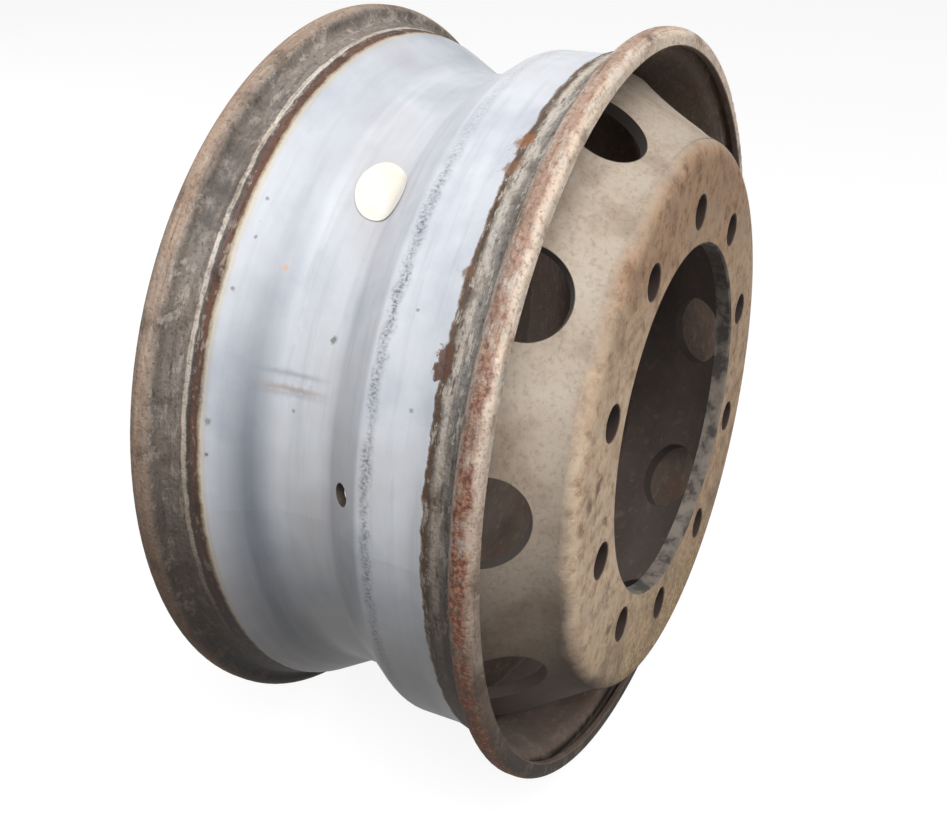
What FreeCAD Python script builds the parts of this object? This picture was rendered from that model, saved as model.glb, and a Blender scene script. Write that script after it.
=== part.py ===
import FreeCAD
import Part

import math
import os

# Steel disc wheel for a truck, made to take a tubeless tyre.
# The wheel turns about Y. The origin is the centre of the stud circle, on the face of the disc
# that seats on the hub. +Y points out of the domed side of the disc, and Z is up.
# Sections are drawn as (place along Y, radius) pairs and turned about Y. All sizes are in mm.

# Rim, one hoop of rolled sheet with a 15 degree drop-centre section
RIM_WIDTH = 228.6  # between the two flange walls
SEAT_DIAMETER = 571.5  # bead seats, where they meet the flange walls
SEAT_TAPER = 15.0  # degrees
RIM_SHEET = 6.0
FLANGE_HEIGHT = 12.7  # above the bead seat
FLANGE_WIDTH = 18.4  # from the flange wall to the outside of the lip
FLANGE_CURL_RADIUS = 7.0  # outside of the rolled-over flange
LIP_DROP = 13.5  # from the top of a flange down to the cut edge of its lip
LIP_EDGE_RADIUS = 1.5
HEEL_RADIUS = 7.0  # between a bead seat and its flange
FAR_SEAT_LENGTH = 30.0  # bead seat on the open side, up to the slope into the well
FAR_SEAT_EDGE_RADIUS = 14.0
WELL_DEPTH = 23.0  # floor of the well below the ledge
FAR_SLOPE_ANGLE = 30.0  # degrees, open side of the well
NEAR_SLOPE_ANGLE = 33.0  # degrees, disc side of the well
WELL_CORNER_RADIUS = 18.0
LEDGE_DROP = 10.75  # flat band beside the well, below the bead seat on the disc side
LEDGE_START = 36.0  # from the middle of the rim to the edge of the ledge
LEDGE_EDGE_RADIUS = 10.0
LEDGE_BLEND_RADIUS = 40.0

# Disc, pressed and spun from plate that thins towards the rim
HUB_FACE_OFFSET = 153.0  # from the middle of the rim to the hub seat
FACE_THICKNESS = 13.0
SHOULDER_THICKNESS = 12.0
CONE_THICKNESS = 9.5
SKIRT_THICKNESS = 7.0
BORE_STEP = 27.0  # from the stud circle in to the wall of the bore
BORE_CHAMFER = 1.5
SHOULDER_STEP = 50.5  # from the skirt in to where the shoulder wall would meet the outer face
SHOULDER_HEIGHT = 16.0
SHOULDER_TAPER = 12.0  # degrees
SHOULDER_RADIUS = 15.0
CONE_FOOT_RADIUS = 40.0  # hollow between the shoulder and the cone
SKIRT_BLEND_RADIUS = 80.0
SKIRT_LENGTH = 30.5  # from the welded edge to where the cone would meet the skirt
SKIRT_SETBACK = 11.0  # from the edge of the ledge to the welded edge of the skirt
SKIRT_EDGE_RADIUS = 1.0

# Holes
STUD_COUNT = 10
STUD_CIRCLE_DIAMETER = 335.0
STUD_HOLE_DIAMETER = 26.0
STUD_HOLE_CHAMFER = 1.0
HAND_HOLE_COUNT = 10
HAND_HOLE_DIAMETER = 65.0
HAND_HOLE_DEPTH = 52.5  # from the outer face back to the middle of a hand hole
HAND_HOLE_ANGLE = 6.0  # degrees, the first hand hole, from +X towards +Z
VALVE_HOLE_DIAMETER = 15.7
VALVE_HOLE_TURN = 1.0  # degrees from the first hand hole

# Weld round the edge of the skirt
WELD_LEG = 6.5
WELD_CROWN = 0.8

# Oval paper label on the floor of the well
LABEL_LENGTH = 53.0
LABEL_WIDTH = 39.0
LABEL_TILT = 31.0  # degrees, the long way of the label, from the hoop's run towards the open side
LABEL_THICKNESS = 0.3
LABEL_PASTE = 0.3  # between the label and the rim
LABEL_PLACE = -11.0  # from the middle of the rim
LABEL_ANGLE = 54.0  # degrees, from +X towards +Z

SEAT_RADIUS = SEAT_DIAMETER / 2
FLANGE_RADIUS = SEAT_RADIUS + FLANGE_HEIGHT
LEDGE_RADIUS = SEAT_RADIUS - LEDGE_DROP
WELL_RADIUS = LEDGE_RADIUS - WELL_DEPTH
SKIRT_RADIUS = LEDGE_RADIUS - RIM_SHEET
SHOULDER_EDGE = SKIRT_RADIUS - SHOULDER_STEP
BORE_RADIUS = STUD_CIRCLE_DIAMETER / 2 - BORE_STEP
RIM_MIDDLE = -HUB_FACE_OFFSET  # place of the middle of the rim along Y
SKIRT_END = RIM_MIDDLE + LEDGE_START + SKIRT_SETBACK
AXIS = FreeCAD.Vector(0, 1, 0)
ORIGIN = FreeCAD.Vector(0, 0, 0)


def slope(degrees):
    """Rise over run of an angle in degrees."""
    return math.tan(math.radians(degrees))


def section_vector(point):
    """A (place, radius) pair as a point of the plane that holds the sections."""
    return FreeCAD.Vector(point[1], point[0], 0)


def unit(start, end):
    """Direction from one (place, radius) pair to another."""
    run, rise = end[0] - start[0], end[1] - start[1]
    length = math.hypot(run, rise)
    return run / length, rise / length


def turn_between(before, after):
    """Signed angle between two directions, in radians, positive to the left."""
    cross = before[0] * after[1] - before[1] * after[0]
    dot = before[0] * after[0] + before[1] * after[1]
    return math.atan2(cross, dot)


def offset_path(path, thicknesses):
    """Moves an open path of (place, radius, corner radius) to its right, by one thickness per segment.

    A negative thickness moves it to its left. Corners stay where the moved segments meet, and a
    corner's arc keeps its centre if both segments move by the same amount.
    """
    directions = [unit(path[i], path[i + 1]) for i in range(len(path) - 1)]
    moved = []
    for i, (place, radius, corner) in enumerate(path):
        if i == 0 or i == len(path) - 1:
            along = directions[0] if i == 0 else directions[-1]
            distance = thicknesses[0] if i == 0 else thicknesses[-1]
            moved.append((place + along[1] * distance, radius - along[0] * distance, corner))
            continue
        before, after = directions[i - 1], directions[i]
        t_before, t_after = thicknesses[i - 1], thicknesses[i]
        turn = turn_between(before, after)
        advance = (t_after - t_before * math.cos(turn)) / math.sin(turn)
        new_place = place + before[1] * t_before + before[0] * advance
        new_radius = radius - before[0] * t_before + before[1] * advance
        inside = (t_before + t_after) / 2
        moved.append((new_place, new_radius, max(0, corner + math.copysign(1, turn) * inside)))
    return moved


def rounded_outline(corners):
    """Closed wire through (place, radius, corner radius) points, with each corner turned by an arc."""
    count = len(corners)
    spans = []
    for i, corner in enumerate(corners):
        before = unit(corners[i - 1], corner)
        after = unit(corner, corners[(i + 1) % count])
        turn = turn_between(before, after)
        reach = corner[2] * math.tan(abs(turn) / 2)
        start = (corner[0] - before[0] * reach, corner[1] - before[1] * reach)
        end = (corner[0] + after[0] * reach, corner[1] + after[1] * reach)
        pull = corner[2] / math.cos(turn / 2) - corner[2]
        inward = (after[0] - before[0], after[1] - before[1])
        size = math.hypot(*inward)
        middle = (corner[0] + inward[0] / size * pull, corner[1] + inward[1] / size * pull)
        spans.append((start, middle, end))
    edges = []
    for i, (start, middle, end) in enumerate(spans):
        if corners[i][2] > 0:
            edges.append(Part.Arc(*map(section_vector, (start, middle, end))).toShape())
        next_start = spans[(i + 1) % count][0]
        if math.dist(end, next_start) > 1e-6:
            edges.append(Part.LineSegment(section_vector(end), section_vector(next_start)).toShape())
    return Part.Wire(Part.__sortEdges__(edges))


def turned(corners):
    """Solid of revolution about the wheel's axis with the outline that the corners give."""
    return Part.Face(rounded_outline(corners)).revolve(ORIGIN, AXIS, 360)


def around(shape, count, first_degrees):
    """Copies of a shape drawn at +X, spread evenly about the wheel's axis from the first angle towards +Z."""
    copies = []
    for i in range(count):
        copy = shape.copy()
        copy.rotate(ORIGIN, AXIS, -(first_degrees + i * 360 / count))
        copies.append(copy)
    return copies


def rim_tyre_side():
    """Section of the rim's tyre side, from the lip on the open side to the lip on the disc side."""
    half = RIM_WIDTH / 2
    lip_reach = half + FLANGE_WIDTH
    lip_end_radius = FLANGE_RADIUS - LIP_DROP
    far_seat_end = -half + FAR_SEAT_LENGTH
    far_seat_end_radius = SEAT_RADIUS - FAR_SEAT_LENGTH * slope(SEAT_TAPER)
    well_start = far_seat_end + (far_seat_end_radius - WELL_RADIUS) / slope(FAR_SLOPE_ANGLE)
    well_end = LEDGE_START - (LEDGE_RADIUS - WELL_RADIUS) / slope(NEAR_SLOPE_ANGLE)
    ledge_end = half - (SEAT_RADIUS - LEDGE_RADIUS) / slope(SEAT_TAPER)
    path = [
        (-lip_reach, lip_end_radius, LIP_EDGE_RADIUS),
        (-lip_reach, FLANGE_RADIUS, FLANGE_CURL_RADIUS),
        (-half, FLANGE_RADIUS, FLANGE_CURL_RADIUS),
        (-half, SEAT_RADIUS, HEEL_RADIUS),
        (far_seat_end, far_seat_end_radius, FAR_SEAT_EDGE_RADIUS),
        (well_start, WELL_RADIUS, WELL_CORNER_RADIUS),
        (well_end, WELL_RADIUS, WELL_CORNER_RADIUS),
        (LEDGE_START, LEDGE_RADIUS, LEDGE_EDGE_RADIUS),
        (ledge_end, LEDGE_RADIUS, LEDGE_BLEND_RADIUS),
        (half, SEAT_RADIUS, HEEL_RADIUS),
        (half, FLANGE_RADIUS, FLANGE_CURL_RADIUS),
        (lip_reach, FLANGE_RADIUS, FLANGE_CURL_RADIUS),
        (lip_reach, lip_end_radius, LIP_EDGE_RADIUS),
    ]
    return [(RIM_MIDDLE + place, radius, corner) for place, radius, corner in path]


def between(path, thickness):
    """Outline of a sheet of even thickness whose left side is the path."""
    other_side = offset_path(path, [thickness] * (len(path) - 1))
    ends = (0, len(path) - 1)
    other_side = [
        (place, radius, path[i][2] if i in ends else corner)
        for i, (place, radius, corner) in enumerate(other_side)
    ]
    return path + other_side[::-1]


def valve_hole_tool():
    """Cylinder through the middle of the well's slope on the disc side, square to the slope."""
    middle_radius = (WELL_RADIUS + LEDGE_RADIUS) / 2
    run_back = (LEDGE_RADIUS - middle_radius) / slope(NEAR_SLOPE_ANGLE)
    middle = FreeCAD.Vector(middle_radius, RIM_MIDDLE + LEDGE_START - run_back, 0)
    tilt = math.radians(NEAR_SLOPE_ANGLE)
    outward = FreeCAD.Vector(math.cos(tilt), -math.sin(tilt), 0)
    reach = 3 * RIM_SHEET
    tool = Part.makeCylinder(VALVE_HOLE_DIAMETER / 2, 2 * reach, middle - outward * reach, outward)
    return around(tool, 1, HAND_HOLE_ANGLE + VALVE_HOLE_TURN)[0]


def make_rim():
    """Rolled hoop with both flanges curled over and the valve hole pierced."""
    return turned(between(rim_tyre_side(), RIM_SHEET)).cut(valve_hole_tool())


def cone_line():
    """Where the cone leaves the shoulder, as place and radius, and its angle from the wheel's axis."""
    start = FACE_THICKNESS - SHOULDER_HEIGHT
    start_radius = SHOULDER_EDGE + SHOULDER_HEIGHT * slope(SHOULDER_TAPER)
    run = start - SKIRT_END - SKIRT_LENGTH
    return start, start_radius, math.atan2(SKIRT_RADIUS - start_radius, run)


def disc_outer_side():
    """Section of the disc's domed side, from the bore to the welded edge of the skirt."""
    cone_start, cone_start_radius, angle = cone_line()
    blend = min(SKIRT_BLEND_RADIUS, SKIRT_LENGTH / math.tan(angle / 2))
    return [
        (FACE_THICKNESS, BORE_RADIUS, 0),
        (FACE_THICKNESS, SHOULDER_EDGE, SHOULDER_RADIUS),
        (cone_start, cone_start_radius, CONE_FOOT_RADIUS),
        (SKIRT_END + SKIRT_LENGTH, SKIRT_RADIUS, blend),
        (SKIRT_END, SKIRT_RADIUS, 0),
    ]


def stud_hole_tool():
    """Cylinder through the face with a chamfer where it opens on the domed side."""
    radius = STUD_HOLE_DIAMETER / 2
    centre = FreeCAD.Vector(STUD_CIRCLE_DIAMETER / 2, -FACE_THICKNESS, 0)
    hole = Part.makeCylinder(radius, 3 * FACE_THICKNESS, centre, AXIS)
    mouth = FreeCAD.Vector(centre.x, FACE_THICKNESS - STUD_HOLE_CHAMFER, 0)
    chamfer = Part.makeCone(radius, radius + 2 * STUD_HOLE_CHAMFER, 2 * STUD_HOLE_CHAMFER, mouth, AXIS)
    return hole.fuse(chamfer)


def hand_hole_tool():
    """Cylinder through the cone of the disc, square to the cone."""
    cone_start, cone_start_radius, tilt = cone_line()
    place = FACE_THICKNESS - HAND_HOLE_DEPTH
    radius = cone_start_radius + (cone_start - place) * math.tan(tilt)
    outward = FreeCAD.Vector(math.cos(tilt), math.sin(tilt), 0)
    reach = HAND_HOLE_DIAMETER
    base = FreeCAD.Vector(radius, place, 0) - outward * reach
    return Part.makeCylinder(HAND_HOLE_DIAMETER / 2, 2 * reach, base, outward)


def make_disc():
    """Dished disc with its bore, stud holes and hand holes."""
    outer = disc_outer_side()
    thicknesses = [FACE_THICKNESS, SHOULDER_THICKNESS, CONE_THICKNESS, SKIRT_THICKNESS]
    inner = offset_path(outer, [-thickness for thickness in thicknesses])
    bore_edges = [
        (0, BORE_RADIUS, 0),
        (FACE_THICKNESS - BORE_CHAMFER, BORE_RADIUS, 0),
        (FACE_THICKNESS, BORE_RADIUS + BORE_CHAMFER, 0),
    ]
    skirt_edge = [(inner[-1][0], inner[-1][1], SKIRT_EDGE_RADIUS)]
    disc = turned(bore_edges + outer[1:] + skirt_edge + inner[-2:0:-1])
    half_step = 180 / STUD_COUNT
    studs = around(stud_hole_tool(), STUD_COUNT, HAND_HOLE_ANGLE + half_step)
    disc = disc.cut(studs)
    return disc.cut(around(hand_hole_tool(), HAND_HOLE_COUNT, HAND_HOLE_ANGLE))


def make_weld():
    """Fillet weld between the edge of the skirt and the rim, with a slightly raised face."""
    root = (SKIRT_END, SKIRT_RADIUS)
    rim_toe = (root[0] - WELD_LEG, root[1])
    skirt_toe = (root[0], root[1] - WELD_LEG)
    lean = WELD_LEG / 2 + WELD_CROWN * math.sqrt(0.5)
    crown = (root[0] - lean, root[1] - lean)
    face = Part.Arc(*map(section_vector, (skirt_toe, crown, rim_toe))).toShape()
    legs = Part.makePolygon([section_vector(p) for p in (rim_toe, root, skirt_toe)])
    outline = Part.Wire(Part.__sortEdges__([face] + legs.Edges))
    return Part.Face(outline).revolve(ORIGIN, AXIS, 360)


def make_label():
    """Thin oval label that follows the floor of the well and the foot of its slope."""
    seat_end, well_start, well_end, ledge_start = rim_tyre_side()[4:8]
    floor = [seat_end[:2] + (0,), well_start, well_end, ledge_start[:2] + (0,)]
    back = offset_path(floor, [-LABEL_PASTE] * (len(floor) - 1))
    front = offset_path(floor, [-LABEL_PASTE - LABEL_THICKNESS] * (len(floor) - 1))
    band = turned(front + back[::-1])
    centre = FreeCAD.Vector(0, RIM_MIDDLE + LABEL_PLACE, 0)
    tilt = math.radians(LABEL_TILT)
    long_end = centre + FreeCAD.Vector(0, -math.sin(tilt), math.cos(tilt)) * (LABEL_LENGTH / 2)
    short_end = centre + FreeCAD.Vector(0, math.cos(tilt), math.sin(tilt)) * (LABEL_WIDTH / 2)
    oval = Part.Wire(Part.Ellipse(long_end, short_end, centre).toShape())
    punch = Part.Face(oval).extrude(FreeCAD.Vector(FLANGE_RADIUS, 0, 0))
    return band.common(around(punch, 1, LABEL_ANGLE)[0])


def main():
    os.makedirs("parts", exist_ok=True)
    pieces = {
        "rim": make_rim(),
        "disc": make_disc(),
        "disc_weld": make_weld(),
        "round_label": make_label(),
    }
    for name, shape in pieces.items():
        shape.exportStep(f"parts/{name}.step")
        box = shape.BoundBox
        print(
            f"{name}: solids {len(shape.Solids)}, valid {shape.isValid()}, volume {shape.Volume:.0f},"
            f" y {box.YMin:.1f} to {box.YMax:.1f}, radius to {box.XMax:.1f}"
        )


main()
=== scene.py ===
import math

import bmesh
import bpy
import numpy as np
from mathutils import Matrix, Vector


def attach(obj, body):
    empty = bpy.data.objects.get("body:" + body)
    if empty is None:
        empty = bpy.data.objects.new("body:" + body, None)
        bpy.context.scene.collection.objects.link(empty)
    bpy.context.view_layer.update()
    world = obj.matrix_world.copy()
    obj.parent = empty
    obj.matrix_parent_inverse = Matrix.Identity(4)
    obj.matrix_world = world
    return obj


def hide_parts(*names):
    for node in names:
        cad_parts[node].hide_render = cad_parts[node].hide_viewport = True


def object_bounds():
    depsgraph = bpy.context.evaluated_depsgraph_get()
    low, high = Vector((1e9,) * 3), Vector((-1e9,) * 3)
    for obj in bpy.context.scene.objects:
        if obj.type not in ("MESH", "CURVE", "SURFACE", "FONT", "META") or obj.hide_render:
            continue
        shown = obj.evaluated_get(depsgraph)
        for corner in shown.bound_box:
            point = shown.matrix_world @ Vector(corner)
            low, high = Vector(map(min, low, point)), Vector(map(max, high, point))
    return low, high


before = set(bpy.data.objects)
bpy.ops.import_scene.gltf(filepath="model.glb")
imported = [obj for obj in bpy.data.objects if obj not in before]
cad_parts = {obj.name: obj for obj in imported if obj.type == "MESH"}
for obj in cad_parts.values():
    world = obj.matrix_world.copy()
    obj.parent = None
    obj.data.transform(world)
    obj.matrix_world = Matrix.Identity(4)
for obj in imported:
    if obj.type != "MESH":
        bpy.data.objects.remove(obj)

bl_info = {
    "name": "Truck wheel rim",
    "version": (1, 0, 0),
    "blender": (4, 5, 0),
    "location": "3D View > Sidebar > Wheel",
    "description": "Dresses a used steel truck wheel: paint, dirt, rust, weld bead, label and stage",
    "category": "Object",
}

cad_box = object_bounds()
MM = 0.001

# The wheel's own sizes, in metres and radians; its axis is Y, and the hub seat is at 0
RIM_MIDDLE = -0.153
CONE_ANGLE = math.radians(33)
SLOPE_ANGLE = math.radians(33)  # disc side of the well, which carries the valve hole
VALVE_ANGLE = math.radians(7)
VALVE_POINT = (0.259039, -0.133075, 0.031806)
HAND_HOLE_POINT = (0.245610, -0.0395, 0)  # of a hand hole turned to +X
STUD_POINT = (0.1675, 0, 0)  # of a stud hole turned to +X
HAND_HOLE_DEGREES, STUD_DEGREES, HOLE_COUNT = 6, 24, 10

# Round the rim, in mm
WELL_RADIUS = 252
WELL_CORNER = 18
LEDGE_RADIUS = 275

# The camera that the photo's outline gives: pixels for the lens and the shift, degrees, metres
PHOTO_WIDTH, FOCAL_PIXELS, SHIFT_PIXELS = 947, 1190.7, (-18.83, -32.08)
CAMERA_TURN, CAMERA_RISE, CAMERA_DISTANCE = math.radians(116.32), math.radians(25.65), 1.01594

# Paint zones across the tyre side of the rim, in mm from its middle: open side, disc side
FAR_ZONES = [
    (-134, "#6b5747"), (-131.5, "#a08c7a"), (-128, "#c2ae9c"), (-121, "#c4b1a0"), (-117, "#ab9d90"),
    (-114.3, "#7d756d"), (-110, "#90877f"), (-104, "#938a82"), (-99.6, "#8b837b"), (-98.8, "#e4dacd"),
    (-96.4, "#e6dcd0"), (-95.6, "#665f58"), (-93.8, "#544b44"), (-92.8, "#6e4f42"), (-88.8, "#6a4d40"),
    (-87.6, "#b3a289"), (-85.6, "#d0c7b5"), (-82, "#ccced3"), (-76, "#ced1d6"),
]
NEAR_ZONES = [
    (86.5, "#d3d6dc"), (87.6, "#9a8068"), (88.8, "#6c5443"), (92.0, "#675648"), (93.6, "#a29a91"),
    (96, "#dad2c8"), (100.5, "#d3cbc1"), (102.5, "#9d9893"), (107, "#97938e"), (112, "#8f8a85"),
    (114.8, "#a3978c"), (117.5, "#cdbaac"), (121, "#c6afa0"), (126, "#bfa594"), (128.5, "#e1cebd"),
    (131, "#e7d6c5"), (134, "#e0cfbe"),
]

# Single marks: mm from the middle of the rim, radius, degrees, size in mm, softness, colour, strength
RIM_MARKS = [
    (-108, 284, 57, 16, 0.9, "#4c4845", 0.6), (-107, 284, 52, 20, 0.9, "#4a4644", 0.75),
    (-107, 284, 46, 22, 0.9, "#484442", 0.85), (-109, 284, 41, 18, 0.9, "#4c4845", 0.75),
    (-55, 259, 38, 3.4, 0.5, "#c98a5c", 0.85), (-8, 252, 29, 3.4, 0.5, "#68665f", 0.8),
    (88.5, 279, 30, 9, 0.3, "#5c3f30", 0.95), (87, 279, 28, 8.5, 0.3, "#563a2c", 0.95),
    (84, 278, 27.4, 4.5, 0.3, "#553729", 0.9), (88, 279, 41, 7, 0.5, "#76533b", 0.8),
    (88, 279, 62, 10, 0.5, "#8a5a35", 0.85), (89, 279, 57, 8, 0.5, "#7d5638", 0.8),
    (-30, 252, 17, 2, 0.5, "#6d6f73", 0.6), (60, 275, 35, 1.6, 0.5, "#6b6e74", 0.7),
    (70, 275, 22, 1.8, 0.5, "#70737a", 0.6), (-78, 274, 47, 1.8, 0.5, "#6a6062", 0.7),
    (-76, 273, 41, 1.6, 0.5, "#55524f", 0.7), (-80, 275, 33, 2.2, 0.5, "#5a5048", 0.7),
    (-82, 276, 14, 3, 0.6, "#6a665f", 0.7), (-82, 276, 9, 2, 0.5, "#4f4c48", 0.8),
]
DISC_MARKS = [
    (166, 180, 10, 8, 0.7, "#5f4031", 0.75), (166, 192, 7, 9, 0.7, "#5f4031", 0.8),
    (163, 206, 4, 8, 0.7, "#6a4a39", 0.7), (166, 178, -38, 6, 0.6, "#52392d", 0.75),
    (166, 186, 40, 12, 0.9, "#7a5c4b", 0.6), (166, 190, 75, 16, 0.9, "#77594a", 0.6),
    (120, 243, 24, 9, 0.9, "#8f8177", 0.5), (100, 255, 42, 12, 0.9, "#a89c92", 0.5),
]


def linear(code):
    """sRGB hex code as linear red, green and blue."""
    values = np.array([int(code[i:i + 2], 16) for i in (1, 3, 5)]) / 255
    bright = ((values + 0.055) / 1.055) ** 2.4
    return tuple(float(v) for v in np.where(values <= 0.04045, values / 12.92, bright))


def paint(code):
    """sRGB hex code as a colour with alpha for a node socket."""
    return (*linear(code), 1.0)


def tones(*stops):
    """Stops of a colour ramp from pairs of place and hex code."""
    return [(place, paint(code)) for place, code in stops]


def per_mm(size):
    """Pattern scale, in repeats per metre, of features that are this many millimetres across."""
    return 1000 / size


def add(tree, kind, inputs=None, out=0, stops=None, **settings):
    """Adds a shader node, sets it up, fills or links its inputs, and gives back one of its outputs."""
    node = tree.nodes.new("ShaderNode" + kind)
    for name, value in settings.items():
        setattr(node, name, value)
    if stops:
        ramp = node.color_ramp
        while len(ramp.elements) < len(stops):
            ramp.elements.new(1.0)
        for element, (place, colour) in zip(ramp.elements, stops):
            element.position, element.color = place, colour
    for key, value in (inputs or {}).items():
        if isinstance(value, bpy.types.NodeSocket):
            tree.links.new(value, node.inputs[key])
        else:
            node.inputs[key].default_value = value
    return node.outputs[out] if node.outputs else None


def new_material(name):
    """Empty material with a shader tree."""
    material = bpy.data.materials.new(name)
    material.use_nodes = True
    material.node_tree.nodes.clear()
    return material, material.node_tree


def finish_material(tree, colour, roughness, height, depth_mm):
    """Joins colour, roughness and relief in one surface shader."""
    relief = add(tree, "Bump", {"Height": height, "Distance": depth_mm * MM, "Strength": 1.0})
    inputs = {"Base Color": colour, "Roughness": roughness, "Normal": relief}
    add(tree, "OutputMaterial", {"Surface": add(tree, "BsdfPrincipled", inputs)})


def dress(node_name, material):
    """Gives a carried-over solid its finish."""
    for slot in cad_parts[node_name].material_slots:
        slot.material = material


def ring_point(place_mm, radius_mm, degrees):
    """Point on the wheel, from its place along the axis, its radius and its angle from +X towards +Z."""
    turn = math.radians(degrees)
    return (
        radius_mm * MM * math.cos(turn),
        RIM_MIDDLE + place_mm * MM,
        radius_mm * MM * math.sin(turn),
    )


def wheel_places(tree):
    """What a finish reads: point, ahead, along the axis, up, out in the wheel's plane, and the normal."""
    place = add(tree, "TexCoord", out="Object")
    ahead, along, upward = (add(tree, "SeparateXYZ", {0: place}, out=letter) for letter in "XYZ")
    flat = add(tree, "VectorMath", {0: place, 1: (1, 0, 1)}, operation="MULTIPLY")
    return place, ahead, along, upward, flat, add(tree, "TexCoord", out="Normal")


def axis_distance(tree, place, centre, way):
    """Distance of each point from a straight line, such as the axis of a hole."""
    offset = add(tree, "VectorMath", {0: place, 1: centre}, operation="SUBTRACT")
    off_line = add(tree, "VectorMath", {0: offset, 1: way}, operation="CROSS_PRODUCT")
    return add(tree, "VectorMath", {0: off_line}, out="Value", operation="LENGTH")


def folded(tree, place, first_degrees):
    """Points turned about the wheel's axis into one share of a ring of holes, whose hole then lies at +X."""
    step = 2 * math.pi / HOLE_COUNT
    x, y, z = (add(tree, "SeparateXYZ", {0: place}, out=letter) for letter in "XYZ")
    angle = add(tree, "Math", {0: z, 1: x}, operation="ARCTAN2")
    first = math.radians(first_degrees) - step / 2
    angle = add(tree, "Math", {0: angle, 1: first}, operation="SUBTRACT")
    angle = add(tree, "Math", {0: angle, 1: step}, operation="FLOORED_MODULO")
    angle = add(tree, "Math", {0: angle, 1: step / 2}, operation="SUBTRACT")
    flat = add(tree, "CombineXYZ", {"X": x, "Y": z})
    radius = add(tree, "VectorMath", {0: flat}, out="Value", operation="LENGTH")
    ahead, aside = (
        product(tree, add(tree, "Math", {0: angle}, operation=name), radius) for name in ("COSINE", "SINE")
    )
    return add(tree, "CombineXYZ", {"X": ahead, "Y": y, "Z": aside})


def coats(tree, colour, *layers):
    """Coats laid over a colour in turn, each with its share from 0 to 1, its colour and any other blend."""
    for share, coat, *blend in layers:
        mix = {"data_type": "RGBA", "blend_type": blend[0] if blend else "MIX"}
        colour = add(tree, "Mix", {0: share, 6: colour, 7: coat}, out=2, **mix)
    return colour


def product(tree, *values):
    """Product of masks."""
    result = values[0]
    for value in values[1:]:
        result = add(tree, "Math", {0: result, 1: value}, operation="MULTIPLY")
    return result


def soft_marks(tree, place, colour, ragged, marks):
    """Lays single marks with ragged, soft edges over a colour."""
    for mm, radius, degrees, size, soft, code, strength in marks:
        centre = ring_point(mm, radius, degrees)
        reach = add(tree, "VectorMath", {0: place, 1: centre}, out="Value", operation="DISTANCE")
        reach = product(tree, reach, ragged)
        ends = {"From Min": size * MM, "From Max": size * MM * (1 - soft), "To Max": strength}
        mark = add(tree, "MapRange", {"Value": reach, **ends})
        colour = coats(tree, colour, (mark, paint(code)))
    return colour


def grid_piece(name, points, closed_u, closed_v):
    """Mesh object from a grid of points, with quads between neighbours, wrapped round where closed.

    Seen from the side that a face points to, a step along a row and one to the next row turn left.
    """
    rows, columns = points.shape[:2]
    index = np.arange(rows * columns).reshape(rows, columns)
    down = np.roll(index, -1, axis=0) if closed_u else index[1:]
    here = index if closed_u else index[:-1]
    right = np.roll(here, -1, axis=1)
    across = np.roll(down, -1, axis=1)
    if not closed_v:
        here, down, right, across = (part[:, :-1] for part in (here, down, right, across))
    quads = np.stack([here, right, across, down], axis=-1).reshape(-1, 4)
    mesh = bpy.data.meshes.new(name)
    mesh.vertices.add(rows * columns)
    mesh.vertices.foreach_set("co", points.reshape(-1).astype(np.float32))
    mesh.loops.add(quads.size)
    mesh.loops.foreach_set("vertex_index", quads.reshape(-1).astype(np.int32))
    mesh.polygons.add(len(quads))
    mesh.polygons.foreach_set("loop_start", np.arange(0, quads.size, 4, dtype=np.int32))
    mesh.polygons.foreach_set("use_smooth", np.ones(len(quads), dtype=bool))
    mesh.update(calc_edges=True)
    mesh.validate()
    piece = bpy.data.objects.new(name, mesh)
    bpy.context.scene.collection.objects.link(piece)
    return piece


def close_poles(piece):
    """Joins the points that lie on one spot at the poles of a polar grid."""
    shell = bmesh.new()
    shell.from_mesh(piece.data)
    bmesh.ops.remove_doubles(shell, verts=shell.verts, dist=0.001 * MM)
    shell.to_mesh(piece.data)
    shell.free()


class WheelFinishSettings(bpy.types.PropertyGroup):
    """Colours and sizes of the wheel's finish."""

    dust: bpy.props.FloatVectorProperty(
        name="Dust", description="Dust on the cone of the disc",
        subtype="COLOR", size=3, default=linear("#afa497"))
    face_rust: bpy.props.FloatVectorProperty(
        name="Face rust", description="Rust on the mounting face",
        subtype="COLOR", size=3, default=linear("#cebaa1"))
    flange_rust: bpy.props.FloatVectorProperty(
        name="Flange rust", description="Red rust on the flange",
        subtype="COLOR", size=3, default=linear("#784a38"))
    inside: bpy.props.FloatVectorProperty(
        name="Inside", description="Old dark dirt on the brake side",
        subtype="COLOR", size=3, default=linear("#64564d"))
    paper: bpy.props.FloatVectorProperty(
        name="Paper", description="Paper of the label",
        subtype="COLOR", size=3, default=linear("#ece8e1"))
    label_length: bpy.props.FloatProperty(
        name="Label length", description="Long way across the oval label", unit="LENGTH", default=0.053)
    label_width: bpy.props.FloatProperty(
        name="Label width", description="Short way across the oval label", unit="LENGTH", default=0.039)
    ripple_pitch: bpy.props.FloatProperty(
        name="Weld ripple", description="Distance between ripples of the weld", unit="LENGTH", default=0.0055)


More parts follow.
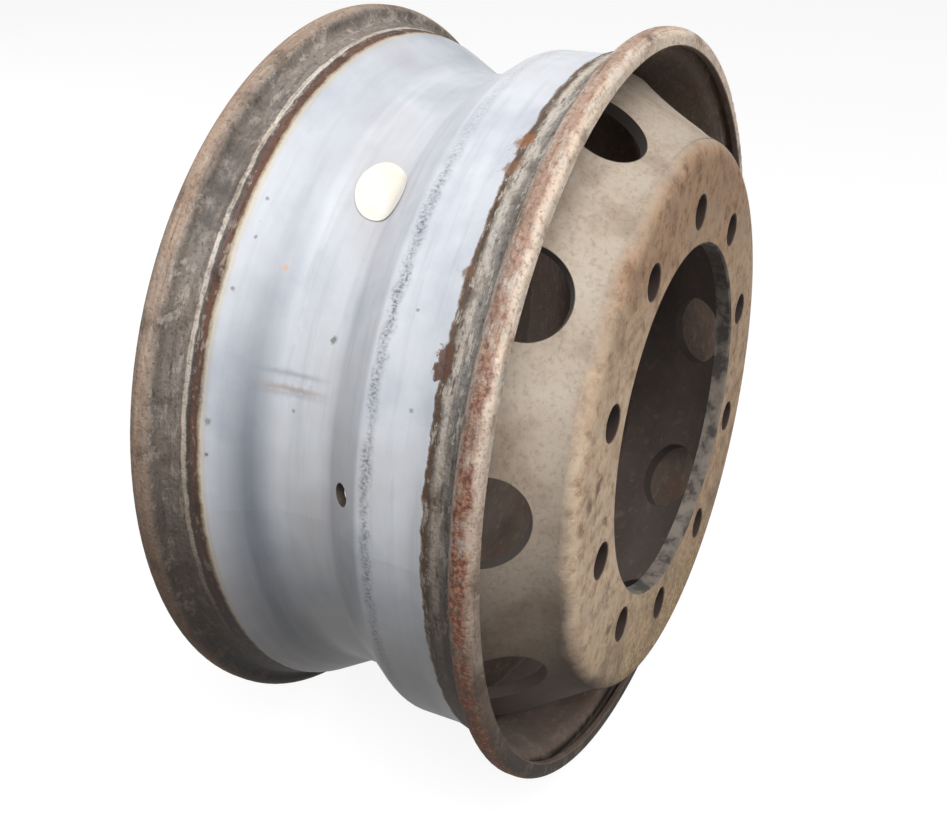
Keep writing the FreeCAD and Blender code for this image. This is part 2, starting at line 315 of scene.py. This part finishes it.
class WHEEL_OT_rim_finish(bpy.types.Operator):
    """Silver paint on the rolled rim, with dirty bead seats, rusty flanges and weld marks"""

    bl_idname = "wheel.rim_finish"
    bl_label = "Rim finish"

    def execute(self, context):
        settings = context.scene.wheel_finish
        # Sprayed silver enamel on rolled steel: even and pale in the well, worn to dirt where a tyre sat
        material, tree = new_material("silver_enamel_on_rolled_steel")
        place, ahead, along, upward, flat, normal = wheel_places(tree)
        outwards = add(tree, "VectorMath", {0: flat}, operation="NORMALIZE")
        facing = add(tree, "VectorMath", {0: normal, 1: outwards}, out="Value", operation="DOT_PRODUCT")

        def band(value, *edges):
            """Share of a band: each edge runs from 0 to 1 between two places, in mm from the rim's middle."""
            shares = []
            for start, end in edges:
                ends = {"From Min": RIM_MIDDLE + start * MM, "From Max": RIM_MIDDLE + end * MM}
                shares.append(add(tree, "MapRange", {"Value": value, **ends}))
            return product(tree, *shares)

        # Zone edges wander: by a millimetre on the open side, by two on the disc side
        wander = add(tree, "TexNoise", {"Vector": place, "Scale": per_mm(17), "Detail": 7, "Roughness": 0.68})
        sides = []
        for reach, zones, low, high in ((0.9, FAR_ZONES, -135, -75), (2.3, NEAR_ZONES, 80, 135)):
            ends = {"From Min": 0.3, "From Max": 0.7, "To Min": -reach * MM, "To Max": reach * MM}
            shift = add(tree, "MapRange", {"Value": wander, **ends})
            wandered = add(tree, "Math", {0: along, 1: shift}, operation="ADD")
            stops = tones(*(((mm - low) / (high - low), code) for mm, code in zones))
            zone_colour = add(tree, "ValToRGB", {"Fac": band(wandered, (low, high))}, stops=stops)
            sides.append((wandered, zone_colour))
        (far_place, far_colour), (near_place, near_colour) = sides
        disc_side = band(along, (-1, 1))
        colour = coats(tree, far_colour, (disc_side, near_colour))
        bare_ends = {0: band(far_place, (-85, -88)), 1: band(near_place, (86.5, 88.5))}
        bare = add(tree, "Math", bare_ends, operation="MAXIMUM")

        # Clouding of the paint, 90 mm, cold and warm, and streaks that run round the wheel, 7 mm wide
        cloud = add(tree, "TexNoise", {"Vector": place, "Scale": per_mm(90), "Detail": 5, "Roughness": 0.55})
        stops = tones((0.3, "#dbdee4"), (0.5, "#fbfbfb"), (0.68, "#efebea"))
        clouds = add(tree, "ValToRGB", {"Fac": cloud}, stops=stops)
        drawn_round = add(tree, "VectorMath", {0: place, 1: (9, per_mm(7), 9)}, operation="MULTIPLY")
        streak = add(tree, "TexNoise", {"Vector": drawn_round, "Scale": 1.0, "Detail": 6, "Roughness": 0.6})
        ends = {"From Min": 0.5, "From Max": 0.78, "To Max": 0.32}
        streak = add(tree, "MapRange", {"Value": streak, **ends})

        # Painted shade in the fold of the well and towards the ground, and a slightly darker open slope
        # Painted shade: a grey band darkens the lower part of the open side's slope down to the fold of the
        # well, fading out towards the top
        fold = band(along, (-82, -60), (-36, -56))
        ends = {"From Min": 0.23, "From Max": 0.04, "To Min": 0.1}
        shade = add(tree, "MapRange", {"Value": upward, **ends})
        open_slope = product(tree, band(far_place, (-88, -84)), band(along, (-40, -50)))
        # Painted shade: the silver darkens towards the ground
        ground_shade = add(tree, "MapRange", {"Value": upward, "From Min": 0.03, "From Max": -0.18})
        colour = coats(
            tree, colour,
            (1.0, clouds, "MULTIPLY"),
            (product(tree, fold, shade), paint("#a0a3a8"), "MULTIPLY"),
            (open_slope, paint("#eeeff1"), "MULTIPLY"),
            (ground_shade, paint("#736a63"), "MULTIPLY"),
            (streak, paint("#8b8f98")),
        )

        # Dirt of the bead seats: 30 mm mottling, 3 mm lines rubbed round the hoop, fine grain
        mottle = add(tree, "TexNoise", {"Vector": place, "Scale": per_mm(30), "Detail": 7, "Roughness": 0.62})
        rubbed = add(tree, "VectorMath", {0: place, 1: (16, per_mm(3), 16)}, operation="MULTIPLY")
        rubbed = add(tree, "TexNoise", {"Vector": rubbed, "Scale": 1.0, "Detail": 6, "Roughness": 0.65})
        grain = add(tree, "TexNoise", {"Vector": place, "Scale": per_mm(3), "Detail": 4, "Roughness": 0.6})
        patterns = ((mottle, "#857b73", 0.9), (rubbed, "#8b837c", 0.8), (grain, "#8f867f", 0.7))
        for pattern, dark, share in patterns:
            stops = tones((0.30, dark), (0.47, "#f6f3f0"), (0.6, "#ffffff"))
            tone = add(tree, "ValToRGB", {"Fac": pattern}, stops=stops)
            colour = coats(tree, colour, (product(tree, bare, share), tone, "MULTIPLY"))

        # Flakes, 16 by 6 mm, pale and dark; pale ones are fewer on the open side
        flake_size = (per_mm(16), per_mm(6), per_mm(16))
        flakes = add(tree, "VectorMath", {0: place, 1: flake_size}, operation="MULTIPLY")
        flakes = add(tree, "TexNoise", {"Vector": flakes, "Scale": 1.0, "Detail": 8, "Roughness": 0.7})
        ends = {"From Min": 0.54, "From Max": 0.60, "To Max": 0.75}
        pale_flakes = add(tree, "MapRange", {"Value": flakes, **ends})
        flake_share = add(tree, "MapRange", {"Value": disc_side, "To Min": 0.5})
        ends = {"From Min": 0.44, "From Max": 0.36, "To Max": 0.85}
        dark_flakes = add(tree, "MapRange", {"Value": flakes, **ends})
        near_seat = product(tree, bare, band(near_place, (88, 92), (116, 113)))
        # Painted shade: the bare bead seats darken towards the ground
        seat_ground_shade = add(tree, "MapRange", {"Value": upward, "From Min": 0.16, "From Max": -0.14})
        colour = coats(
            tree, colour,
            (product(tree, pale_flakes, bare, flake_share), paint("#c6bdb1")),
            (product(tree, dark_flakes, near_seat), paint("#443c36")),
            (product(tree, seat_ground_shade, bare), paint("#76685c"), "MULTIPLY"),
        )

        # Red rust on the flanges, thicker towards the ground, and dark pits
        rust = add(tree, "TexNoise", {"Vector": place, "Scale": per_mm(15), "Detail": 10, "Roughness": 0.78})
        rust = add(tree, "MapRange", {"Value": rust, "From Min": 0.40, "From Max": 0.53})
        stops = [(0.36, paint("#54352a")), (0.5, (*settings.flange_rust, 1)), (0.64, paint("#a9826a"))]
        rust_colour = add(tree, "ValToRGB", {"Fac": grain}, stops=stops)
        ends = {"From Min": 0.26, "From Max": 0.08, "To Min": 0.35}
        thick = add(tree, "MapRange", {"Value": upward, **ends})
        outer_side = add(tree, "MapRange", {"Value": facing, "From Min": 0.0, "From Max": 0.3})
        near_flange = product(tree, band(near_place, (117, 119.5), (131, 127.5)), outer_side)
        far_flange = band(far_place, (-115.5, -118.5))
        pits = add(tree, "MapRange", {"Value": grain, "From Min": 0.62, "From Max": 0.70, "To Max": 0.6})
        colour = coats(
            tree, colour,
            (product(tree, rust, near_flange, thick), rust_colour),
            (product(tree, rust, far_flange, 0.3), paint("#7a5a46")),
            (product(tree, pits, bare), paint("#3a2e27")),
        )

        # Heat marks of the weld behind the ledge: a sooty line of 2 to 3 mm grain, 43 mm from the middle
        angle = add(tree, "Math", {0: upward, 1: ahead}, operation="ARCTAN2")
        round_way = add(tree, "Math", {0: angle, 1: LEDGE_RADIUS / 2.2}, operation="MULTIPLY")
        cross_way = add(tree, "Math", {0: along, 1: per_mm(3)}, operation="MULTIPLY")
        soot = add(tree, "CombineXYZ", {"X": round_way, "Y": cross_way})
        soot = add(tree, "TexNoise", {"Vector": soot, "Scale": 1.0, "Detail": 4, "Roughness": 0.65})
        ends = {"From Min": 0.42, "From Max": 0.64, "To Min": 0.16, "To Max": 0.95}
        soot = add(tree, "MapRange", {"Value": soot, **ends})
        ends = {"From Min": 0.265, "From Max": 0.20, "To Min": 0.3}
        fading = add(tree, "MapRange", {"Value": upward, **ends})
        ends = {"From Min": 0.34, "From Max": 0.58, "To Min": 0.4}
        patchy = add(tree, "MapRange", {"Value": mottle, **ends})
        on_line = band(near_place, (37.5, 42), (48.5, 44))
        colour = coats(tree, colour, (product(tree, on_line, soot, fading, patchy), paint("#43444a")))

        # Single marks, with edges made ragged by 5 mm noise
        ragged = add(tree, "TexNoise", {"Vector": place, "Scale": per_mm(5), "Detail": 6, "Roughness": 0.7})
        ends = {"From Min": 0.25, "From Max": 0.75, "To Min": 0.3, "To Max": 1.9}
        ragged = add(tree, "MapRange", {"Value": ragged, **ends})
        colour = soft_marks(tree, place, colour, ragged, RIM_MARKS)

        # Smears of the trimmed hoop joint: faint broken lines across the well
        in_well = band(along, (-60, -46), (0, -24))
        in_front = add(tree, "MapRange", {"Value": ahead, "From Min": 0.1, "From Max": 0.12})
        smears = ((22.6, 0.42, "#75787d"), (20.3, 0.55, "#8f7a68"), (19.5, 0.3, "#75787d"))
        for degrees, strength, code in smears:
            turn = math.radians(degrees)
            across = {0: place, 1: (-math.sin(turn), 0, math.cos(turn))}
            side = add(tree, "VectorMath", across, out="Value", operation="DOT_PRODUCT")
            side = product(tree, add(tree, "Math", {0: side}, operation="ABSOLUTE"), ragged)
            ends = {"From Min": 3.4 * MM, "From Max": 0.4 * MM, "To Max": strength}
            line = add(tree, "MapRange", {"Value": side, **ends})
            colour = coats(tree, colour, (product(tree, line, in_front, in_well), paint(code)))

        # Inside of the hoop: old dark dirt with rusty clouds and pale crumbs
        stops = tones((0.3, "#b9a79a"), (0.55, "#ffffff"), (0.8, "#dcb79c"))
        dirt = add(tree, "ValToRGB", {"Fac": cloud}, stops=stops)
        dirt = coats(tree, (*settings.inside, 1), (1.0, dirt, "MULTIPLY"))
        stains = ((mottle, 0.50, 0.64, "#6b5343", 0.5), (flakes, 0.53, 0.62, "#8a7d73", 0.3))
        for pattern, start, end, code, most in stains:
            ends = {"From Min": start, "From Max": end, "To Max": most}
            dirt = coats(tree, dirt, (add(tree, "MapRange", {"Value": pattern, **ends}), paint(code)))
        inner_side = add(tree, "MapRange", {"Value": facing, "From Min": -0.2, "From Max": -0.5})

        # Wall of the valve hole, whose axis stands square on the slope of the well
        out_part = math.cos(SLOPE_ANGLE)
        valve_way = (
            out_part * math.cos(VALVE_ANGLE),
            -math.sin(SLOPE_ANGLE),
            out_part * math.sin(VALVE_ANGLE),
        )
        off_valve = axis_distance(tree, place, VALVE_POINT, valve_way)
        ends = {"From Min": 8.5 * MM, "From Max": 8.0 * MM}
        valve_wall = add(tree, "MapRange", {"Value": off_valve, **ends})
        colour = coats(
            tree, colour,
            (product(tree, valve_wall, in_front), paint("#4a4138")),
            (inner_side, dirt),
        )

        # Relief: orange peel under the paint, crusty scale where it is bare
        dirt_or_bare = add(tree, "Math", {0: bare, 1: inner_side}, operation="MAXIMUM")
        roughness = add(tree, "MapRange", {"Value": dirt_or_bare, "To Min": 0.5, "To Max": 0.86})
        crust = add(tree, "Math", {0: flakes, 1: grain}, operation="ADD")
        crust = product(tree, crust, dirt_or_bare)
        height = add(tree, "Math", {0: product(tree, grain, 0.1), 1: crust}, operation="ADD")
        finish_material(tree, colour, roughness, height, 0.9)
        dress("rim", material)
        return {"FINISHED"}


class WHEEL_OT_disc_finish(bpy.types.Operator):
    """Dust over old paint on the dome, rust on the mounting face and dark dirt behind"""

    bl_idname = "wheel.disc_finish"
    bl_label = "Disc finish"

    def execute(self, context):
        settings = context.scene.wheel_finish
        # Pressed steel plate under dried road dust: chalky and matt, rusted where nuts and hub pressed on it
        material, tree = new_material("road_dust_on_pressed_steel")
        place, ahead, along, upward, flat, normal = wheel_places(tree)
        radius = add(tree, "VectorMath", {0: flat}, out="Value", operation="LENGTH")
        square = add(tree, "VectorMath", {0: flat}, operation="NORMALIZE")
        square = add(tree, "VectorMath", {0: square, "Scale": math.cos(CONE_ANGLE)}, operation="SCALE")
        square = add(tree, "VectorMath", {0: square, 1: (0, math.sin(CONE_ANGLE), 0)}, operation="ADD")
        facing = add(tree, "VectorMath", {0: normal, 1: square}, out="Value", operation="DOT_PRODUCT")

        # Dust in 60 mm blotches, warm and grey, with fine mottling
        blotch = add(tree, "TexNoise", {"Vector": place, "Scale": per_mm(60), "Detail": 8, "Roughness": 0.62})
        stops = tones((0.32, "#c9bdb4"), (0.5, "#f6f1ec"), (0.66, "#ffffff"))
        dust_tone = add(tree, "ValToRGB", {"Fac": blotch}, stops=stops)
        fine = add(tree, "TexNoise", {"Vector": place, "Scale": per_mm(4), "Detail": 6, "Roughness": 0.7})
        fine_tone = add(tree, "ValToRGB", {"Fac": fine}, stops=tones((0.36, "#dcd5ce"), (0.5, "#ffffff")))
        dust = (*settings.dust, 1)
        colour = coats(tree, dust, (1.0, dust_tone, "MULTIPLY"), (0.7, fine_tone, "MULTIPLY"))

        # Rust comes in from the face over the shoulder, with a ragged edge
        ends = {"From Min": 0.3, "From Max": 0.7, "To Min": -6 * MM, "To Max": 6 * MM}
        edge = add(tree, "MapRange", {"Value": blotch, **ends})
        edge = add(tree, "Math", {0: along, 1: edge}, operation="ADD")
        rusty = add(tree, "MapRange", {"Value": edge, "From Min": 3 * MM, "From Max": 13 * MM})
        grain_inputs = {"Vector": place, "Scale": per_mm(14), "Detail": 10, "Roughness": 0.74}
        rust_grain = add(tree, "TexNoise", grain_inputs)
        stops = tones((0.34, "#a08c80"), (0.5, "#f4ece6"), (0.62, "#ffffff"))
        rust_tone = add(tree, "ValToRGB", {"Fac": rust_grain}, stops=stops)
        ends = {"From Min": 0.56, "From Max": 0.64, "To Max": 0.55}
        scale = add(tree, "MapRange", {"Value": rust_grain, **ends})
        red = add(tree, "MapRange", {"Value": blotch, "From Min": 0.52, "From Max": 0.66, "To Max": 0.4})
        ends = {"From Min": 0.14, "From Max": -0.08, "To Max": 0.5}
        darker = add(tree, "MapRange", {"Value": ahead, **ends})
        ends = {"From Min": 0.07, "From Max": 0.17, "To Max": 0.8}
        brown_top = add(tree, "MapRange", {"Value": upward, **ends})
        rust = coats(
            tree, (*settings.face_rust, 1),
            (1.0, rust_tone, "MULTIPLY"),
            (scale, paint("#c4b29f")),
            (red, paint("#826858")),
            (darker, paint("#cdbdb2"), "MULTIPLY"),
            (brown_top, paint("#cbb8a8"), "MULTIPLY"),
        )

        # Darker ochre low on the shoulder and the face; painted shade low on the cone
        ends = {"From Min": -0.08, "From Max": -0.19, "To Max": 0.75}
        low_down = add(tree, "MapRange", {"Value": upward, **ends})
        crumbs = add(tree, "MapRange", {"Value": fine, "From Min": 0.42, "From Max": 0.58})
        ochre = add(tree, "ValToRGB", {"Fac": crumbs}, stops=tones((0.2, "#7a6248"), (0.9, "#b69d77")))
        # Painted shade: the cone darkens towards the ground
        cone_ground_shade = add(tree, "MapRange", {"Value": upward, "From Min": 0.10, "From Max": -0.13})
        not_rusty = add(tree, "Math", {0: 1.0, 1: rusty}, operation="SUBTRACT")

        # Specks of rust and chips, 4 mm, thicker towards the shoulder
        specks = add(tree, "MapRange", {"Value": fine, "From Min": 0.65, "From Max": 0.72, "To Max": 0.6})
        ends = {"From Min": -60 * MM, "From Max": 0.0, "To Min": 0.3}
        thick = add(tree, "MapRange", {"Value": along, **ends})
        colour = coats(
            tree, colour,
            (rusty, rust),
            (product(tree, low_down, rusty), ochre),
            (product(tree, cone_ground_shade, not_rusty), paint("#6d625a"), "MULTIPLY"),
            (product(tree, specks, thick), paint("#6d5646")),
        )
        ends = {"From Min": 0.25, "From Max": 0.75, "To Min": 0.4, "To Max": 1.7}
        ragged = add(tree, "MapRange", {"Value": rust_grain, **ends})
        colour = soft_marks(tree, place, colour, ragged, DISC_MARKS)

        # Walls of the holes and the back of the disc: dark, rusty dirt
        stops = tones((0.3, "#443a35"), (0.6, "#544942"), (0.8, "#604f46"))
        back = add(tree, "ValToRGB", {"Fac": blotch}, stops=stops)
        for start, end, code, most in ((0.54, 0.66, "#6b5141", 0.5), (0.44, 0.36, "#7c7067", 0.3)):
            ends = {"From Min": start, "From Max": end, "To Max": most}
            back = coats(tree, back, (add(tree, "MapRange", {"Value": rust_grain, **ends}), paint(code)))
        behind = add(tree, "MapRange", {"Value": facing, "From Min": 0.3, "From Max": 0.1})
        off_stud = axis_distance(tree, folded(tree, place, STUD_DEGREES), STUD_POINT, (0, 1, 0))
        ends = {"From Min": 14.4 * MM, "From Max": 13.3 * MM}
        stud_wall = add(tree, "MapRange", {"Value": off_stud, **ends})
        hand_way = (math.cos(CONE_ANGLE), math.sin(CONE_ANGLE), 0)
        hand_place = folded(tree, place, HAND_HOLE_DEGREES)
        off_hand = axis_distance(tree, hand_place, HAND_HOLE_POINT, hand_way)
        ends = {"From Min": 33.2 * MM, "From Max": 32.6 * MM}
        hand_wall = add(tree, "MapRange", {"Value": off_hand, **ends})

        # Wall of the bore: rubbed bright by the hub, with 18 mm dark spots
        spot = add(tree, "TexNoise", {"Vector": place, "Scale": per_mm(18), "Detail": 4, "Roughness": 0.6})
        stops = tones((0.40, "#746b63"), (0.50, "#655d55"), (0.60, "#3a3431"))
        bore_tone = add(tree, "ValToRGB", {"Fac": spot}, stops=stops)
        ends = {"From Min": 142.6 * MM, "From Max": 142.0 * MM}
        in_bore = add(tree, "MapRange", {"Value": radius, **ends})
        colour = coats(
            tree, colour,
            (behind, back),
            (stud_wall, paint("#24150e")),
            (hand_wall, paint("#382f2a")),
            (in_bore, bore_tone),
        )

        # Relief: caked dust on the cone, scale on the face
        scale_height = product(tree, rust_grain, rusty, 1.5)
        height = add(tree, "Math", {0: scale_height, 1: product(tree, fine, 0.3)}, operation="ADD")
        finish_material(tree, colour, 0.88, height, 1.1)
        dress("disc", material)
        return {"FINISHED"}


class WHEEL_OT_weld_bead(bpy.types.Operator):
    """Rippled fillet weld between the skirt of the disc and the rim"""

    bl_idname = "wheel.weld_bead"
    bl_label = "Weld bead"

    def execute(self, context):
        settings = context.scene.wheel_finish
        root_place, root_radius, leg = -0.106, 0.269, 0.0065
        # Fillet carried round a ring: a straight face from the skirt's toe to the rim's toe, bulged square to
        # itself by half a sine wave. The bulge swells with a sine of the turn, whose phase grows with the
        # square of the distance from the middle of the face, so the ripples are crescents
        turn = np.linspace(0, 2 * np.pi, 1600, endpoint=False)[:, None]
        share = np.linspace(0, 1, 11)[None, :]
        ripples = round(2 * math.pi * root_radius / settings.ripple_pitch)
        phase = ripples * turn + 3.0 * (2 * share - 1) ** 2 + 0.8 * np.sin(7 * turn) + 0.5 * np.sin(23 * turn)
        swell = 0.8 + 0.25 * np.sin(phase) + 0.2 * np.sin(11 * turn + 1)
        crown = np.sin(np.pi * share) * swell * MM
        place = root_place - leg * share - crown * math.sqrt(0.5)
        radius = root_radius - leg * (1 - share) - crown * math.sqrt(0.5)
        place = np.concatenate([place, np.full_like(turn, root_place)], axis=1)
        radius = np.concatenate([radius, np.full_like(turn, root_radius)], axis=1)
        points = np.stack([radius * np.cos(turn), place, radius * np.sin(turn)], axis=-1)
        piece = grid_piece("weld_bead", points, True, True)

        # Mild steel weld metal gone brown: rough, with darker hollows
        material, tree = new_material("rusted_weld_metal")
        spot = add(tree, "TexCoord", out="Object")
        mottle = add(tree, "TexNoise", {"Vector": spot, "Scale": per_mm(7), "Detail": 6, "Roughness": 0.7})
        stops = tones((0.3, "#2f2722"), (0.5, "#51433a"), (0.7, "#6b4f3d"))
        colour = add(tree, "ValToRGB", {"Fac": mottle}, stops=stops)
        finish_material(tree, colour, 0.82, mottle, 0.6)
        piece.data.materials.append(material)
        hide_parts("disc_weld")
        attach(piece, "root")
        return {"FINISHED"}


class WHEEL_OT_round_label(bpy.types.Operator):
    """Oval blank paper label on the floor of the well, lifting a little at its lower edge"""

    bl_idname = "wheel.round_label"
    bl_label = "Round label"

    def execute(self, context):
        settings = context.scene.wheel_finish
        place_mm, label_degrees, tilt = -11, 54, math.radians(31)
        paste, paper = 0.3, 0.3
        # Polar grid, out over the top face and back under the lower one: ring share times half the oval's
        # length and width, a little uneven, turned by the tilt and wrapped round the well
        half_length, half_width = settings.label_length / 2 / MM, settings.label_width / 2 / MM
        ring = np.concatenate([np.linspace(0, 1, 28), np.linspace(1, 0, 28)])[:, None]
        top = np.repeat([1.0, 0.0], 28)[:, None]
        turn = np.linspace(0, 2 * np.pi, 120, endpoint=False)[None, :]
        uneven = 1 + 0.012 * np.sin(3 * turn + 0.5) + 0.008 * np.sin(5 * turn) * ring
        long_way = half_length * ring * np.cos(turn) * uneven
        short_way = half_width * ring * np.sin(turn) * uneven
        aside = short_way * math.cos(tilt) - long_way * math.sin(tilt)
        round_way = short_way * math.sin(tilt) + long_way * math.cos(tilt)
        across = place_mm + aside
        # Under it the well's floor, the arc of its corner, then the slope
        arc_start, arc_end, corner = -4.75, 5.05, 0.583
        in_arc = np.clip(across, arc_start, arc_end) - arc_start
        arc = WELL_RADIUS + WELL_CORNER - np.sqrt(np.maximum(WELL_CORNER**2 - in_arc**2, 0))
        slope = WELL_RADIUS + (across - corner) * math.tan(SLOPE_ANGLE)
        floor = np.where(across > arc_end, slope, arc)
        # The edge lifts with the sixth power of the ring share, and a bell curve makes the crease
        lift = np.clip(np.cos(turn - math.radians(140)), 0, 1) ** 2 * ring**6
        crease = np.exp(-(((round_way - 15 - 0.1 * aside) / 0.9) ** 2))
        radius = floor + paste + paper * top + 1.3 * lift + 0.25 * crease
        angle = math.radians(label_degrees) + round_way / WELL_RADIUS
        axial = RIM_MIDDLE / MM + across
        points = np.stack([radius * np.cos(angle), axial, radius * np.sin(angle)], axis=-1) * MM
        piece = grid_piece("round_label_paper", points, False, True)
        close_poles(piece)

        # Uncoated paper, yellowed in patches
        material, tree = new_material("yellowed_label_paper")
        spot = add(tree, "TexCoord", out="Object")
        age = add(tree, "TexNoise", {"Vector": spot, "Scale": per_mm(18), "Detail": 4})
        tone = add(tree, "ValToRGB", {"Fac": age}, stops=tones((0.4, "#ffffff"), (0.75, "#faf1e2")))
        colour = coats(tree, (*settings.paper, 1), (1.0, tone, "MULTIPLY"))
        fibre = add(tree, "TexNoise", {"Vector": spot, "Scale": per_mm(1.5), "Detail": 3})
        finish_material(tree, colour, 0.9, fibre, 0.05)
        piece.data.materials.append(material)
        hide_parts("round_label")
        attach(piece, "root")
        return {"FINISHED"}


class WHEEL_OT_stage(bpy.types.Operator):
    """Pale floor, soft light from above and the camera"""

    bl_idname = "wheel.stage"
    bl_label = "Stage"

    def execute(self, context):
        scene = context.scene
        scene.view_settings.view_transform = "Standard"

        def seen_directly(tree):
            """Share of rays that show the background itself: from the camera, mirrored or passed through."""
            seen = add(tree, "LightPath", out="Is Camera Ray")
            for kind in ("Is Glossy Ray", "Is Transmission Ray"):
                seen = add(tree, "Math", {0: seen, 1: add(tree, "LightPath", out=kind)}, operation="MAXIMUM")
            return seen

        # Flat square at the foot of the wheel, 50 m wide
        span = np.linspace(-25, 25, 2)
        x, y = np.meshgrid(span, span)
        corners = np.stack([x, y, np.full_like(x, cad_box[0][2])], axis=-1)
        floor = grid_piece("floor", corners, False, False)
        material, tree = new_material("pale_floor")
        dull = add(tree, "BsdfDiffuse", {"Color": paint("#33302d")})
        pale = add(tree, "BsdfDiffuse", {"Color": paint("#6e6e6e")})
        glow = add(tree, "Emission", {"Color": paint("#ffffff"), "Strength": 0.9})
        pale = add(tree, "AddShader", {0: pale, 1: glow})
        both = add(tree, "MixShader", {0: seen_directly(tree), 1: dull, 2: pale})
        add(tree, "OutputMaterial", {"Surface": both})
        floor.data.materials.append(material)

        world = bpy.data.worlds.new("soft_sky")
        world.use_nodes = True
        sky = world.node_tree
        sky.nodes.clear()
        strength = add(sky, "MapRange", {"Value": seen_directly(sky), "To Min": 0.12, "To Max": 1.0})
        light = add(sky, "Background", {"Color": paint("#ffffff"), "Strength": strength})
        add(sky, "OutputWorld", {"Surface": light})
        scene.world = world

        # Round soft lamps: way from the wheel, distance and width in metres, watts
        middle = Vector((0, RIM_MIDDLE, 0))
        for name, way, distance, size, power in (
            ("key_light", (0.48, 0.37, 0.79), 3.2, 2.6, 128),
            ("fill_light", (0.20, 0.93, 0.30), 3.5, 2.5, 32),
            ("back_light", (-0.10, -0.92, 0.38), 3.5, 2.5, 38),
        ):
            lamp = bpy.data.lights.new(name, "AREA")
            lamp.shape, lamp.size, lamp.energy = "DISK", size, power
            lamp_object = bpy.data.objects.new(name, lamp)
            scene.collection.objects.link(lamp_object)
            direction = Vector(way).normalized()
            lamp_object.location = middle + direction * distance
            lamp_object.rotation_euler = direction.to_track_quat("Z", "Y").to_euler()

        level = math.cos(CAMERA_RISE)
        back = Vector((math.sin(CAMERA_TURN) * level, -math.cos(CAMERA_TURN) * level, math.sin(CAMERA_RISE)))
        right = Vector((math.cos(CAMERA_TURN), math.sin(CAMERA_TURN), 0))
        camera = bpy.data.cameras.new("camera")
        camera.sensor_width = 36
        camera.lens = camera.sensor_width * FOCAL_PIXELS / PHOTO_WIDTH
        camera.shift_x, camera.shift_y = (shift / PHOTO_WIDTH for shift in SHIFT_PIXELS)
        camera_object = bpy.data.objects.new("camera", camera)
        axes = Matrix((right, back.cross(right), back)).transposed().to_4x4()
        camera_object.matrix_world = Matrix.Translation(middle + back * CAMERA_DISTANCE) @ axes
        scene.collection.objects.link(camera_object)
        scene.camera = camera_object
        return {"FINISHED"}


class WHEEL_PT_sidebar(bpy.types.Panel):
    """Lists the wheel's pieces and finish settings"""

    bl_idname = "WHEEL_PT_sidebar"
    bl_label = "Truck wheel rim"
    bl_space_type = "VIEW_3D"
    bl_region_type = "UI"
    bl_category = "Wheel"

    def draw(self, context):
        for operator in OPERATORS:
            self.layout.operator(operator.bl_idname)
        for name in WheelFinishSettings.__annotations__:
            self.layout.prop(context.scene.wheel_finish, name)


OPERATORS = (
    WHEEL_OT_rim_finish, WHEEL_OT_disc_finish, WHEEL_OT_weld_bead, WHEEL_OT_round_label, WHEEL_OT_stage,
)
CLASSES = (WheelFinishSettings, *OPERATORS, WHEEL_PT_sidebar)


def register():
    for item in CLASSES:
        bpy.utils.register_class(item)
    bpy.types.Scene.wheel_finish = bpy.props.PointerProperty(type=WheelFinishSettings)


def unregister():
    del bpy.types.Scene.wheel_finish
    for item in reversed(CLASSES):
        bpy.utils.unregister_class(item)


def main():
    register()
    bpy.ops.wheel.rim_finish()
    bpy.ops.wheel.disc_finish()
    bpy.ops.wheel.weld_bead()
    bpy.ops.wheel.round_label()
    bpy.ops.wheel.stage()


if __name__ == "__main__":
    main()
